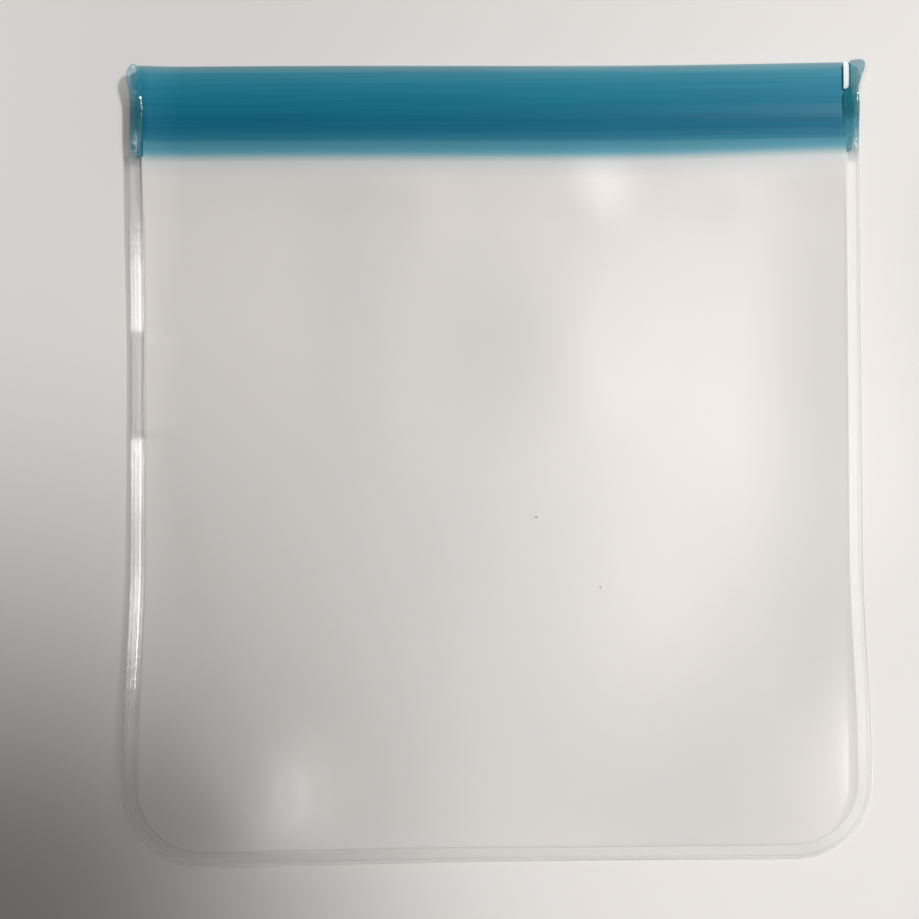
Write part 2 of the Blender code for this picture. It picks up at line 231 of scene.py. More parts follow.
# The clear scrap beside the right ear, and the clear skin between that ear and the band.
FLASH_SECTIONS = (
    (0.1306, 0.1308, 0.1316, 0.0020, 0.0003, -18),
    (0.1340, 0.1310, 0.1329, 0.0022, 0.0003, -20),
    (0.1380, 0.1322, 0.1340, 0.0026, 0.0003, -24),
    (0.1398, 0.1329, 0.1342, 0.0028, 0.0003, -24),
    (0.1405, 0.1334, 0.1339, 0.0028, 0.0002, -24),
)
WEB_SECTIONS = (
    (0.1324, 0.1255, 0.1264, 0.0031, 0.0002, 8),
    (0.1334, 0.1254, 0.1273, 0.0031, 0.0004, 8),
    (0.1375, 0.1254, 0.1274, 0.0031, 0.0004, 8),
    (0.1408, 0.1254, 0.1274, 0.0031, 0.0004, 8),
    (0.1419, 0.1256, 0.1270, 0.0031, 0.0002, 8),
)
END_SECTION_POINTS = 64
END_SECTION_STEPS = 18
END_SECTION_SQUARENESS = 0.35
END_LUMPS = 0.00011  # height of the melted lumps
END_LUMPS_SCALE = 900.0
END_FOLDS = 0.00010  # height of the folds that run up the ends
END_FOLDS_SCALE = 800.0
END_FOLDS_STRETCH = 0.16
CLEAR_LUMPINESS = 0.25  # share of that unevenness on the clear scraps

# The picture: a square, seen from nearly straight above the bag's middle.
FRAME_PIXELS = 919
METRES_PER_PIXEL = 0.00036
CAMERA_HEIGHT = 0.60
CAMERA_X = -0.01325
CAMERA_Y = 0.00077
CAMERA_ROLL = math.radians(-0.5)
SENSOR_WIDTH = 36.0

# Lamps: position, point aimed at, half-angle of the cone, softness of its edge, watts, radius.
# Four large ones light the floor and the bag, and the small ones its lifted left side and its folds.
LAMPS = {
    "sheen_lamp": ((0.215, 0.030, 1.100), (0.1032, -0.1244, 0.0), 0.1862, 0.566, 22.6, 0.07),
    "key_lamp": ((0.5806, 0.6449, 1.0342), (-0.0129, 0.600, 0.0), 0.4934, 0.150, 53.2, 0.08),
    "left_lamp": ((0.6389, 0.7096, 1.0239), (-0.500, 0.0198, 0.0), 0.1714, 0.626, 34.2, 0.08),
    "front_lamp": ((0.100, -0.350, 1.150), (0.1447, -0.1083, 0.0), 0.2429, 0.905, 22.1, 0.10),
    "left_fill_lamp": ((0.215, 0.030, 1.100), (-0.115, 0.030, 0.0), 0.170, 1.0, 2.0, 0.04),
    "left_rim_top_lamp": ((0.207, 0.122, 1.100), (-0.130, 0.055, 0.0), 0.048, 1.0, 2.6, 0.04),
    "left_rim_lamp": ((0.215, 0.030, 1.100), (-0.130, 0.000, 0.0), 0.050, 1.0, 1.75, 0.04),
    "left_rim_foot_lamp": ((0.213, -0.085, 1.100), (-0.130, -0.055, 0.0), 0.062, 1.0, 3.3, 0.04),
    "foot_fold_lamp": ((0.215, 0.030, 1.100), (-0.073, -0.121, 0.0), 0.016, 1.0, 13.0, 0.02),
    "zip_fold_lamp": ((0.215, 0.030, 1.100), (0.0385, 0.100, 0.0), 0.010, 1.0, 14.0, 0.01),
}
WORLD_LIGHT = 0.158
FLOOR_COLOUR = (0.82, 0.785, 0.76)
FLOOR_HALF_WIDTH = 2.0

# Colours along y.
FILM_BANDS = (
    (0.1020, (0.985, 0.950, 0.925)),
    (0.1080, (0.840, 0.880, 0.880)),
    (0.1097, (0.640, 0.790, 0.810)),
    (0.1105, (0.400, 0.660, 0.730)),
    (0.1115, (0.200, 0.523, 0.625)),
    (0.1130, (0.119, 0.434, 0.544)),
    (0.1160, (0.071, 0.361, 0.487)),
)
FILM_DENSITY = 0.42
FILM_ROUGHNESS = 0.45
# The film is pulled smooth, so it is glossier, beside the right rim and on the fold at the foot:
# x, y, half-lengths, change of roughness.
TAUT_FILM_PATCHES = (
    (0.1260, -0.1050, 0.0150, 0.0600, -0.20),
    (-0.0740, -0.1180, 0.0200, 0.0300, -0.20),
)
BACK_FILM_TINTS = ((0.965, 0.930, 0.905), (0.995, 0.960, 0.935))
# Painted light and shade on the film: soft patches, lighter or darker, listed as x, y, half-lengths,
# change of shade.
# The value below is the film's shade elsewhere, and the one after the list its palest shade.
FILM_BASE_SHADE = 1.006
FILM_LIGHT_AND_SHADE_PATCHES = (
    (-0.0157, -0.0438, 0.0830, 0.1362, -0.112),
    (0.1192, 0.0173, 0.0347, 0.1600, -0.160),
    (0.0715, -0.0980, 0.0844, 0.1342, -0.143),
    (-0.0890, -0.1062, 0.0346, 0.0316, 0.100),
    (-0.1185, -0.1292, 0.0470, 0.0577, -0.159),
    (0.1249, -0.1152, 0.0257, 0.0496, 0.100),
    (-0.1256, -0.0314, 0.0397, 0.0615, 0.100),
    (0.0016, 0.0467, 0.0480, 0.0568, -0.118),
    (0.0434, 0.0390, 0.0258, 0.0379, 0.064),
    (-0.0510, 0.0672, 0.0307, 0.1078, -0.064),
    (0.0584, -0.0649, 0.0518, 0.0615, 0.098),
    (0.0175, -0.0113, 0.0717, 0.0876, -0.056),
    (-0.0752, -0.1215, 0.0190, 0.0310, 0.180),
)
FILM_PALEST_SHADE = 1.013
FILM_LIGHT_AND_SHADE_END = (0.0980, 0.1080)  # they fade out here, on the way to the zip
STRIP_BANDS = (
    (0.1100, (0.025, 0.190, 0.275)),
    (0.1160, (0.025, 0.185, 0.270)),
    (0.1195, (0.008, 0.137, 0.224)),
    (0.1240, (0.005, 0.132, 0.218)),
    (0.1300, (0.008, 0.175, 0.266)),
    (0.1360, (0.020, 0.211, 0.307)),
    (0.1400, (0.050, 0.256, 0.350)),
    (0.1416, (0.150, 0.322, 0.375)),
    (0.1426, (0.260, 0.430, 0.480)),
)
LEFT_END_BANDS = (
    (0.1110, (0.110, 0.300, 0.340)),
    (0.1140, (0.060, 0.290, 0.380)),
    (0.1204, (0.020, 0.200, 0.240)),
    (0.1262, (0.010, 0.150, 0.200)),
    (0.1298, (0.010, 0.210, 0.270)),
    (0.1356, (0.020, 0.300, 0.430)),
    (0.1420, (0.050, 0.360, 0.460)),
)
RIGHT_END_BANDS = (
    (0.1102, (0.300, 0.450, 0.440)),
    (0.1140, (0.140, 0.430, 0.500)),
    (0.1200, (0.050, 0.290, 0.380)),
    (0.1240, (0.005, 0.160, 0.215)),
    (0.1280, (0.005, 0.185, 0.240)),
    (0.1326, (0.010, 0.215, 0.260)),
    (0.1365, (0.020, 0.300, 0.360)),
)
# How dense the melted plastic is along y, where 1 hides all that is behind it.
LEFT_END_DENSITY = (
    (0.1060, 0.02),
    (0.1085, 0.10),
    (0.1110, 0.34),
    (0.1135, 0.45),
    (0.1200, 0.52),
    (0.1300, 0.50),
    (0.1350, 0.40),
    (0.1400, 0.32),
)
RIGHT_END_DENSITY = (
    (0.1060, 0.02),
    (0.1090, 0.14),
    (0.1115, 0.28),
    (0.1150, 0.50),
    (0.1200, 0.72),
    (0.1300, 0.72),
    (0.1340, 0.50),
    (0.1380, 0.42),
)
# The weld and the clear web: look where flat, and where steeper than these steepnesses. Their steep
# faces get painted shade, a darker colour.
WELD_FLAT = 0.045
WELD_STEEP = 0.14
WELD_TINT = (1.00, 0.988, 0.963)
WELD_DENSITY = 0.24
WELD_STEEP_PAINTED_SHADE = (0.83, 0.83, 0.82)
WELD_EDGE_DENSITY = 0.42
# The clear web is painted white, as a painted highlight on its clear skin.
WEB_PAINTED_HIGHLIGHT = (1.0, 1.0, 1.0)
WEB_DENSITY = 0.50
WEB_STEEP_PAINTED_SHADE = (0.80, 0.95, 0.98)
WEB_EDGE_DENSITY = 0.30
# The weld is painted paler along the right side, as painted light. It is smooth along the left side, and
# duller elsewhere.
PAINTED_LIGHT_WELD_X = (0.1130, 0.1270)
WELD_PAINTED_LIGHT = (0.82, 1.0)
SMOOTH_WELD_X = (-0.1180, -0.1000)
SMOOTH_WELD_Y = (-0.0850, -0.1250)
SIDE_WELD_ROUGHNESS = (0.14, 0.50)
FOOT_WELD_ROUGHNESS = (0.14, 0.75)

# Gloss: index of refraction, and level of the mirror-like part.
FILM_SHINE = (1.5, 0.28)
WELD_SHINE = (1.7, 1.0)
ZIP_SHINE = (1.45, 0.12)
END_SHINE = (1.6, 0.8)

# Unevenness of the materials: scale of the noise, and the range of what it varies.
FILM_CLOUD_SCALE = 25.0
WELD_SHEEN_SCALE = 300.0
WELD_SHEEN = (0.9, 1.1)
ZIP_STREAK_STRETCH = (18, 1300, 1)
ZIP_STREAKS = (0.82, 1.18)
ZIP_ROUGHNESS_SCALE = 60.0
ZIP_ROUGHNESS = (0.36, 0.42)
END_SHADE_SCALE = 600.0
END_SHADES = (0.80, 1.20)
END_ROUGHNESS_SCALE = 200.0
END_ROUGHNESS = (0.08, 0.14)
SPECK_SCALE = 4000.0
SPECK_TINTS = ((0.03, 0.03, 0.03), (0.10, 0.09, 0.08))
SPECK_ROUGHNESS = 0.7
FLOOR_ROUGHNESS = 0.9
FLOOR_GLOSS = 0.1

# Fine relief: strength, and where it has a noise of its own, the scale of that.
RELIEF_HEIGHT = 0.0002
WELD_RELIEF = 0.12
WELD_RELIEF_SCALE = 500.0
ZIP_RELIEF = 0.10
END_RELIEF = 0.3
END_RELIEF_SCALE = 1400.0


def smooth_step(value):
    """0 below 0, 1 above 1, and a smooth S between."""
    held = min(max(value, 0.0), 1.0)
    return held * held * (3 - 2 * held)


def half_width(y):
    """Half of the straight bag's width at y: it flares out towards the foot."""
    flare = smooth_step((FLARE_TOP_Y - y) / (FLARE_TOP_Y - FLARE_FOOT_Y))
    return TOP_HALF_WIDTH + flare * (FOOT_HALF_WIDTH - TOP_HALF_WIDTH)


def outline_right(inset, top_y, corner_rows, side_rows):
    """Points (x, y) of the outline's right half, moved in by inset, from the foot to top_y."""
    centre_x = FOOT_HALF_WIDTH - CORNER_RADIUS
    centre_y = FOOT_Y + CORNER_RADIUS
    radius = CORNER_RADIUS - inset
    points = []
    for row in range(corner_rows + 1):
        angle = math.radians(90) * row / corner_rows
        points.append((centre_x + radius * math.sin(angle), centre_y - radius * math.cos(angle)))
    for row in range(1, side_rows + 1):
        y = centre_y + (top_y - centre_y) * row / side_rows
        points.append((half_width(y) - inset, y))
    return points


def edge_distance(x, y):
    """Distance from a point of the bag to its outline, measured inwards."""
    side = half_width(y) - abs(x)
    foot = y - FOOT_Y
    if side < CORNER_RADIUS and foot < CORNER_RADIUS:
        return CORNER_RADIUS - math.hypot(CORNER_RADIUS - side, CORNER_RADIUS - foot)
    return min(side, foot)


def lift_spread(x, y):
    """Over how many times its height the lifted edge near a point comes down to the table."""
    if x > 0:
        return LIFT_SPREAD
    spread = LEFT_SPREADS[0][1]
    for (from_y, _), (to_y, there) in zip(LEFT_SPREADS, LEFT_SPREADS[1:]):
        spread += (there - spread) * smooth_step((y - from_y) / (to_y - from_y))
    return spread


def underside(x, y):
    """Height of the bag's back: flat on the table inside, and up in a curve where the rim is lifted."""
    along_y = min(y, STRIP_FOOT_Y)
    lift = 0.0
    for at_x, at_y, run, height in RIM_LIFTS.values():
        lift += height * math.exp(-((x - at_x) ** 2 + (along_y - at_y) ** 2) / run**2)
    inward = max(edge_distance(x, y), 0.0) / (lift_spread(x, y) * lift)
    return BEDDING + lift * max(0.0, 1 - inward) ** 2


def share_between(value, start_and_end):
    """0 at the start and 1 at the end of a span, and a smooth S between."""
    start, end = start_and_end
    return smooth_step((value - start) / (end - start))


def settle(x, y):
    """The place in the drawn-in, sagging bag of a point (x, y) of the straight one."""
    drawn = DRAW_IN * share_between(x, DRAW_IN_X) * share_between(y, DRAW_IN_Y)
    middle = math.exp(-(((x - SAG_X) / SAG_HALF_LENGTH) ** 2))
    return x + drawn, y - SAG * middle * share_between(y, SAG_Y)


def bump(x, y, shape):
    """Height at (x, y) of a soft bulge or hollow."""
    at_x, at_y, half_x, half_y, height = shape
    return height * math.exp(-(((x - at_x) / half_x) ** 2) - ((y - at_y) / half_y) ** 2)


def relief(x, y):
    """How far the front film's bulges and hollows move it up."""
    total = FILM_WAVE * noise.noise(Vector((x, y, 0)) * FILM_WAVE_SCALE)
    return total + sum(bump(x, y, shape) for shape in FRONT_RELIEF.values())


def front_film_height(x, y):
    """Height of the front film's outer face, down to the rim at the edge and up to the zip."""
    from_rim = edge_distance(x, y) - RIM_WIDTH
    full = smooth_step(from_rim / POUCH_SWELL_RUN)
    swollen = POUCH_EDGE_THICKNESS + full * (POUCH_SWELL + relief(x, y))
    swollen += smooth_step(from_rim / PUFF_EDGE) * bump(x, y, PUFF)
    to_zip = smooth_step((y - (STRIP_FOOT_Y - POUCH_SWELL_RUN)) / POUCH_SWELL_RUN)
    near_zip = ZIP_SIDE_THICKNESS + full * (1 - to_zip) * relief(x, y)
    return underside(x, y) + swollen * (1 - to_zip) + near_zip * to_zip


def back_film_height(x, y):
    """Height of the back film's outer face, which lies on the table."""
    return FILM_CLEARANCE + underside(x, y) - BEDDING


def settle_mesh(bm):
    """Draws in and sags a mesh that was made straight."""
    for vert in bm.verts:
        vert.co.x, vert.co.y = settle(vert.co.x, vert.co.y)


def add_piece(name, bm, material, replaced=(), sharp_angle=None):
    """Makes a piece from its bmesh, rides it on the bag and hides the CAD nodes it stands for."""
    bmesh.ops.recalc_face_normals(bm, faces=bm.faces)
    mesh = bpy.data.meshes.new(name)
    bm.to_mesh(mesh)
    bm.free()
    mesh.materials.append(material)
    mesh.shade_smooth()
    if sharp_angle:
        mesh.set_sharp_from_angle(angle=math.radians(sharp_angle))
    piece = bpy.data.objects.new(name, mesh)
    bpy.context.scene.collection.objects.link(piece)
    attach(piece, "root")
    for node in replaced:
        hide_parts(node)
    return piece


def loft(bm, sections):
    """Joins closed sections with the same number of points, and closes both ends."""
    rings = [[bm.verts.new(point) for point in section] for section in sections]
    count = len(rings[0])
    for ring, following in zip(rings, rings[1:]):
        for here in range(count):
            there = (here + 1) % count
            bm.faces.new((ring[here], ring[there], following[there], following[here]))
    bm.faces.new(list(reversed(rings[0])))
    bm.faces.new(rings[-1])


def film_rows():
    """Half-width and y of each row of a film, from the foot to its edge on the zip's strip."""
    inset = RIM_WIDTH - FILM_IN_RIM
    rows = outline_right(inset, RIM_TOP_Y, FILM_CORNER_ROWS, FILM_SIDE_ROWS)
    for row in range(1, FILM_LAP_ROWS + 1):
        rows.append((STRIP_HALF_LENGTH, RIM_TOP_Y + (FILM_TOP_Y - RIM_TOP_Y) * row / FILM_LAP_ROWS))
    return rows


def make_film(name, outer_height, inward, material, replaced):
    """One film of the pouch: a closed sheet from rim to rim and up over the strip's lower edge."""
    bm = bmesh.new()
    outer = []
    inner = []
    for half, y in film_rows():
        xs = [half * (2 * column / FILM_COLUMNS - 1) for column in range(FILM_COLUMNS + 1)]
        heights = [outer_height(x, y) for x in xs]
        outer.append([bm.verts.new((x, y, z)) for x, z in zip(xs, heights)])
        inner.append([bm.verts.new((x, y, z + inward * FILM_THICKNESS)) for x, z in zip(xs, heights)])
    rows = len(outer)
    for sheet in (outer, inner):
        for row in range(rows - 1):
            for column in range(FILM_COLUMNS):
                corners = (sheet[row][column], sheet[row][column + 1])
                corners += (sheet[row + 1][column + 1], sheet[row + 1][column])
                bm.faces.new(corners)
    for row in range(rows - 1):
        for column in (0, FILM_COLUMNS):
            corners = (outer[row][column], outer[row + 1][column])
            corners += (inner[row + 1][column], inner[row][column])
            bm.faces.new(corners)
    for column in range(FILM_COLUMNS):
        for row in (0, rows - 1):
            corners = (outer[row][column], outer[row][column + 1])
            corners += (inner[row][column + 1], inner[row][column])
            bm.faces.new(corners)
    settle_mesh(bm)
    return add_piece(name, bm, material, replaced, sharp_angle=50)


def bell(away):
    """1 at 0 and softly down to 0 on both sides."""
    return math.exp(-away * away)


def rim_height(inset):
    """Height of the rim's upper face over its underside."""
    if inset < RIM_BEAD_INSET:
        rise = math.sin(math.pi / 2 * inset / RIM_BEAD_INSET)
        height = RIM_EDGE_THICKNESS + rise * (RIM_BEAD_TOP - RIM_EDGE_THICKNESS)
    else:
        fall = smooth_step((inset - RIM_BEAD_INSET) / (RIM_FLAT_INSET - RIM_BEAD_INSET))
        across = max(0.0, (inset - RIM_FLAT_INSET) / (RIM_WIDTH - RIM_FLAT_INSET))
        crown = RIM_FLAT_CROWN * 4 * across * (1 - across)
        height = RIM_BEAD_TOP + fall * (RIM_FLAT_THICKNESS - RIM_BEAD_TOP) + crown
    height -= RIM_GROOVE_DEPTH * bell((inset - RIM_GROOVE_INSET) / RIM_GROOVE_RADIUS)
    height += RIM_RIDGE_HEIGHT * bell((inset - RIM_RIDGE_INSET) / RIM_RIDGE_RADIUS)
    for line_inset, line_height in RIM_LINES:
        height += line_height * bell((inset - line_inset) / RIM_LINE_RADIUS)
    return height


def make_rim(material):
    """The weld round both sides and the foot, with its bead, groove and fine lines."""
    insets = [RIM_WIDTH * step / RIM_PROFILE_STEPS for step in range(RIM_PROFILE_STEPS + 1)]
    profile = [(inset, rim_height(inset)) for inset in insets]
    profile += [(RIM_WIDTH, 0.0), (0.0, 0.0)]
    lines = []
    for inset, height in profile:
        right = outline_right(inset, RIM_TOP_Y + RIM_IN_END, RIM_CORNER_STEPS, RIM_SIDE_STEPS)
        straight = right[0][0]
        foot = []
        for step in range(1, RIM_FOOT_STEPS):
            foot.append((straight * (2 * step / RIM_FOOT_STEPS - 1), FOOT_Y + inset))
        line = [(-x, y) for x, y in reversed(right)] + foot + right
        points = []
        for x, y in line:
            wave = RIM_WAVE * noise.noise(Vector((x, y, RIM_WAVE_SEED)) * RIM_WAVE_SCALE)
            points.append(Vector((x, y, underside(x, y) + height + wave * (height > 0))))
        lines.append(points)
    bm = bmesh.new()
    loft(bm, [list(section) for section in zip(*lines)])
    settle_mesh(bm)
    return add_piece("rim", bm, material, ["edge_weld"], sharp_angle=60)


def strip_thickness(y):
    """Thickness of one strip of the zip at y: lip with a bead, the track's two rows, flange."""
    line = STRIP_LINE_DEPTH * math.cos(2 * math.pi * y / STRIP_LINE_PITCH)
    rise = smooth_step(1 - (FILM_TOP_Y - y) / TRACK_EDGE_RISE)
    fall = smooth_step((TRACK_TOP_Y + TRACK_EDGE_RUN - y) / TRACK_EDGE_RUN)
    on_track = rise * fall
    off_middle = abs((y - TRACK_FOOT_Y) / TRACK_HEIGHT - 0.5)
    groove = ROW_GROOVE_DEPTH * smooth_step(1 - 2 * off_middle / ROW_GROOVE_SHARE)
    bead = TOP_BEAD_DEPTH * smooth_step(1 - (STRIP_TOP_Y - y) / TOP_BEAD_HEIGHT)
    plain = STRIP_FLANGE_THICKNESS if y < TRACK_FOOT_Y else STRIP_LIP_THICKNESS + bead
    track = TRACK_THICKNESS - groove
    return plain + (track - plain) * on_track + line * (1 - on_track)


def strip_right_x(y, notched):
    """Where a strip ends at the right: the front lip is cut short beside the ear."""
    full = STRIP_HALF_LENGTH + STRIP_IN_END
    cut = share_between(y, LIP_NOTCH_Y) if notched else 0.0
    return full + cut * (LIP_NOTCH_X - full)


def make_strip(name, face_z, outward, notched, material, replaced):
    """A strip of the zip: flat on its inner face, shaped on the face that points outward."""
    steps = range(STRIP_PROFILE_STEPS + 1)
    levels = [STRIP_FOOT_Y + (STRIP_TOP_Y - STRIP_FOOT_Y) * step / STRIP_PROFILE_STEPS for step in steps]
    left = -STRIP_HALF_LENGTH - STRIP_IN_END
    sections = []
    for station in range(STRIP_STATIONS + 1):
        section = []
        for level in [*levels, levels[-1], levels[0]]:
            x = left + (strip_right_x(level, notched) - left) * station / STRIP_STATIONS
            near_foot = 1 - smooth_step((level - STRIP_FOOT_Y) / STRIP_FOOT_RISE_RUN)
            y = level + STRIP_FOOT_RISE * share_between(x, STRIP_FOOT_RISE_X) * near_foot
            base_z = face_z + underside(x, STRIP_FOOT_Y) - BEDDING
            if len(section) >= len(levels):
                section.append(Vector((x, y, base_z)))
                continue
            from_end = (STRIP_HALF_LENGTH + STRIP_IN_END - abs(x)) / STRIP_THINNING
            thinning = STRIP_THINNED + (1 - STRIP_THINNED) * smooth_step(from_end)
            on_lip = smooth_step((y - TRACK_TOP_Y) / TRACK_HEIGHT)
            spot = Vector((x, STRIP_WAVE_STRETCH * y, STRIP_WAVE_SEED))
            wave = STRIP_WAVE * noise.noise(spot * STRIP_WAVE_SCALE)
            height = outward * thinning * (strip_thickness(y) - FILM_CLEARANCE)
            section.append(Vector((x, y, base_z + height + wave * on_lip)))
        sections.append(section)
    bm = bmesh.new()
    loft(bm, sections)
    settle_mesh(bm)
    return add_piece(name, bm, material, replaced, sharp_angle=40)


def blend_sections(sections):
    """The listed sections with smooth ones in between, on a Catmull-Rom curve."""
    rows = [sections[0], *sections, sections[-1]]
    blended = []
    for before, start, end, after in zip(rows, rows[1:], rows[2:], rows[3:]):
        for step in range(END_SECTION_STEPS):
            t = step / END_SECTION_STEPS
            section = []
            for a, b, c, d in zip(before, start, end, after):
                curve = 2 * b + (c - a) * t + (2 * a - 5 * b + 4 * c - d) * t**2
                section.append((curve + (3 * b - a - 3 * c + d) * t**3) / 2)
            blended.append(section)
    return blended + [list(sections[-1])]


def rounded_power(value):
    """Turns a cosine or sine into that of a bar with rounded corners."""
    return math.copysign(abs(value) ** END_SECTION_SQUARENESS, value)


def melted_lump(spot):
    """Unevenness of melted plastic: folds that run up the end, and small lumps."""
    folded = Vector((spot.x, spot.y * END_FOLDS_STRETCH, 0)) * END_FOLDS_SCALE
    return END_FOLDS * noise.noise(folded) + END_LUMPS * noise.noise(spot * END_LUMPS_SCALE)


def make_melted(name, sections, material, replaced, lumpiness):
    """A lofted lump of melted plastic: one of the zip's ends, or a clear scrap beside it."""
    rings = []
    for y, left_x, right_x, middle_z, thickness, tilt in blend_sections(sections):
        turn = Matrix.Rotation(math.radians(tilt), 3, "Y")
        ring = []
        for point in range(END_SECTION_POINTS):
            angle = 2 * math.pi * point / END_SECTION_POINTS
            across = rounded_power(math.cos(angle)) * (right_x - left_x) / 2
            up = rounded_power(math.sin(angle)) * thickness / 2
            spot = Vector(((left_x + right_x) / 2, y, middle_z)) + turn @ Vector((across, 0, up))
            if up > 0:
                spot += turn @ Vector((0, 0, lumpiness * melted_lump(spot)))
            ring.append(spot)
        rings.append(ring)
    bm = bmesh.new()
    loft(bm, rings)
    return add_piece(name, bm, material, replaced)


def make_specks(material):
    """Flat dark specks on the front film, as one piece."""
    bm = bmesh.new()
    for x, y, radius in SPECKS:
        segments = {"u_segments": SPECK_POINTS, "v_segments": SPECK_POINTS // 2}
        made = bmesh.ops.create_uvsphere(bm, radius=radius, **segments)
        for vert in made["verts"]:
            ripple = 1 + SPECK_UNEVENNESS * noise.noise(vert.co / radius)
            vert.co.x = x + vert.co.x * ripple
            vert.co.y = y + vert.co.y * ripple
            vert.co.z = front_film_height(x, y) + vert.co.z / radius * SPECK_HEIGHT
    return add_piece("specks", bm, material)


def new_material(name):
    """A node material and its Principled shader."""
    material = bpy.data.materials.new(name)
    material.use_nodes = True
    return material, material.node_tree, material.node_tree.nodes["Principled BSDF"]


def position_axis(tree, axis):
    """A socket with the piece's own x, y or z in metres."""
    place = tree.nodes.new("ShaderNodeTexCoord")
    split = tree.nodes.new("ShaderNodeSeparateXYZ")
    tree.links.new(place.outputs["Object"], split.inputs[0])
    return split.outputs[axis]


def ramp_over(tree, value, low, high, stops):
    """Colours along value from low to high: stops are (share of the way, colour)."""
    span = tree.nodes.new("ShaderNodeMapRange")
    span.inputs["From Min"].default_value = low
    span.inputs["From Max"].default_value = high
    tree.links.new(value, span.inputs["Value"])
    ramp = tree.nodes.new("ShaderNodeValToRGB")
    ramp.color_ramp.interpolation = "LINEAR"
    elements = ramp.color_ramp.elements
    while len(elements) < len(stops):
        elements.new(0.5)
    for element, (share, colour) in zip(elements, stops):
        element.position = share
        element.color = (*colour, 1.0)
    tree.links.new(span.outputs["Result"], ramp.inputs["Fac"])
    return ramp.outputs["Color"]


def noise_value(tree, scale, stretch=(1, 1, 1), detail=1):
    """A socket with a noise from 0 to 1."""
    place = tree.nodes.new("ShaderNodeTexCoord")
    mapping = tree.nodes.new("ShaderNodeMapping")
    mapping.inputs["Scale"].default_value = stretch
    texture = tree.nodes.new("ShaderNodeTexNoise")
    texture.inputs["Scale"].default_value = scale
    texture.inputs["Detail"].default_value = detail
    tree.links.new(place.outputs["Object"], mapping.inputs["Vector"])
    tree.links.new(mapping.outputs["Vector"], texture.inputs["Vector"])
    return texture.outputs["Fac"]


def map_value(tree, value, result):
    """Noise or any 0 to 1 value, moved to run from result[0] to result[1]."""
    span = tree.nodes.new("ShaderNodeMapRange")
    span.inputs["To Min"].default_value = result[0]
    span.inputs["To Max"].default_value = result[1]
    tree.links.new(value, span.inputs["Value"])
    return span.outputs["Result"]


def map_range(tree, value, span, result):
    """A value that goes smoothly from result[0] to result[1] as value crosses the span."""
    node = tree.nodes.new("ShaderNodeMapRange")
    node.interpolation_type = "SMOOTHSTEP"
    node.inputs["From Min"].default_value = span[0]
    node.inputs["From Max"].default_value = span[1]
    node.inputs["To Min"].default_value = result[0]
    node.inputs["To Max"].default_value = result[1]
    tree.links.new(value, node.inputs["Value"])
    return node.outputs["Result"]


def soft_patch(tree, x, y, half_x, half_y, amount):
    """A value that is amount at (x, y) and falls softly to 0 on an ellipse round it."""
    place = tree.nodes.new("ShaderNodeTexCoord")
    scaled = tree.nodes.new("ShaderNodeVectorMath")
    scaled.operation = "MULTIPLY"
    scaled.inputs[1].default_value = (1 / half_x, 1 / half_y, 0)
    tree.links.new(place.outputs["Object"], scaled.inputs[0])
    away = tree.nodes.new("ShaderNodeVectorMath")
    away.operation = "DISTANCE"
    away.inputs[1].default_value = (x / half_x, y / half_y, 0)
    tree.links.new(scaled.outputs["Vector"], away.inputs[0])
    return map_range(tree, away.outputs["Value"], (1, 0), (0, amount))


def add_relief(tree, shader, value, strength):
    """Fine relief of the surface, without moving it."""
    node = tree.nodes.new("ShaderNodeBump")
    node.inputs["Strength"].default_value = strength
    node.inputs["Distance"].default_value = RELIEF_HEIGHT
    tree.links.new(value, node.inputs["Height"])
    tree.links.new(node.outputs["Normal"], shader.inputs["Normal"])


def grey(tree, value):
    """A colour whose three channels are all the value."""
    shade = tree.nodes.new("ShaderNodeCombineColor")
    for channel in ("Red", "Green", "Blue"):
        tree.links.new(value, shade.inputs[channel])
    return shade.outputs[0]


def multiply_colours(tree, first, second):
    """A colour that is the product of two."""
    mix = tree.nodes.new("ShaderNodeMix")
    mix.data_type = "RGBA"
    mix.blend_type = "MULTIPLY"
    mix.inputs["Factor"].default_value = 1
    tree.links.new(first, mix.inputs["A"])
    tree.links.new(second, mix.inputs["B"])
    return mix.outputs["Result"]


def add_values(tree, operation, first, second):
    """Adds, multiplies or otherwise joins two values; each is a socket or a number."""
    node = tree.nodes.new("ShaderNodeMath")
    node.operation = operation
    for slot, value in zip(node.inputs, (first, second)):
        if isinstance(value, (int, float)):
            slot.default_value = value
        else:
            tree.links.new(value, slot)
    return node.outputs[0]


def straight_y(tree, narrows):
    """A socket with y of the straight bag, before it sagged, as if the strips had an even width."""
    away = add_values(tree, "SUBTRACT", position_axis(tree, "X"), SAG_X)
    away = add_values(tree, "DIVIDE", away, SAG_HALF_LENGTH)
    squared = add_values(tree, "MULTIPLY", add_values(tree, "MULTIPLY", away, away), -1.0)
    sag = add_values(tree, "MULTIPLY", add_values(tree, "EXPONENT", squared, 0.0), SAG)
    level = add_values(tree, "ADD", position_axis(tree, "Y"), sag)
    if not narrows:
        return level
    rise = map_range(tree, position_axis(tree, "X"), STRIP_FOOT_RISE_X, (0.0, STRIP_FOOT_RISE))
    return add_values(tree, "SUBTRACT", level, rise)


def bands_over(tree, value, stops):
    """Colours along value: stops are (value in metres, colour)."""
    low, high = stops[0][0], stops[-1][0]
    shares = [((level - low) / (high - low), colour) for level, colour in stops]
    return ramp_over(tree, value, low, high, shares)


def steepness(tree):
    """A socket that is 0 where the piece faces straight up and 1 where it stands upright."""
    place = tree.nodes.new("ShaderNodeTexCoord")
    split = tree.nodes.new("ShaderNodeSeparateXYZ")
    tree.links.new(place.outputs["Normal"], split.inputs[0])
    return add_values(tree, "SUBTRACT", 1.0, add_values(tree, "ABSOLUTE", split.outputs["Z"], 0.0))


